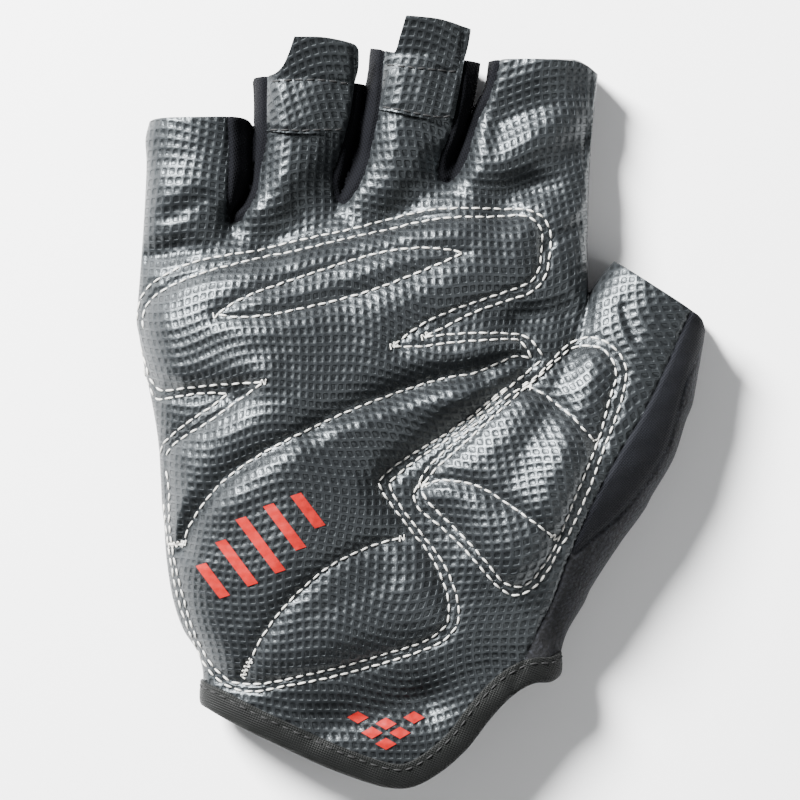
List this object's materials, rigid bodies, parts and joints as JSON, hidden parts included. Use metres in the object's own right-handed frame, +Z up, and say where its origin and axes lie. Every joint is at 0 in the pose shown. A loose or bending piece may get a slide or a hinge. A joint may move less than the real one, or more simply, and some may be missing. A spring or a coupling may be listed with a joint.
{
  "type": "cycling glove",
  "caption": "Half-finger padded cycling glove for the right hand, shown palm up, with stitched pads, knit gussets, pull tabs and a bound wrist opening.",
  "frame": {"origin": "below the middle of the glove, on the surface that it lies on", "axes": "+Y from the wrist to the finger openings, +X towards the thumb, +Z up out of the palm"},
  "size_m": [0.1252, 0.1694, 0.0259],
  "materials": {
    "palm_leather": "embossed synthetic leather, satin",
    "pad_leather": "embossed synthetic leather over foam and gel, satin",
    "tab_leather": "smooth synthetic leather, satin",
    "gusset_knit": "fine stretch knit",
    "back_fabric": "fine stretch knit, matte",
    "side_panel": "smooth coated stretch fabric",
    "thumb_terry": "fuzzy brushed terry",
    "binding_tape": "folded woven tape",
    "stitching": "twisted off-white thread",
    "print": "thin raised rubber print"
  },
  "bodies": {
    "root": {"palm_panel": "palm_leather", "upper_palm_pad": "pad_leather", "heel_pad": "pad_leather", "thumb_pad": "pad_leather", "gusset_little_ring": "gusset_knit", "gusset_ring_middle": "gusset_knit", "gusset_middle_index": "gusset_knit", "back_panel": "back_fabric", "thumb_side_panel": "side_panel", "thumb_back_panel": "thumb_terry", "ring_pull_tab": "tab_leather", "middle_pull_tab": "tab_leather", "cuff_binding": "binding_tape"}
  },
  "joints": []
}
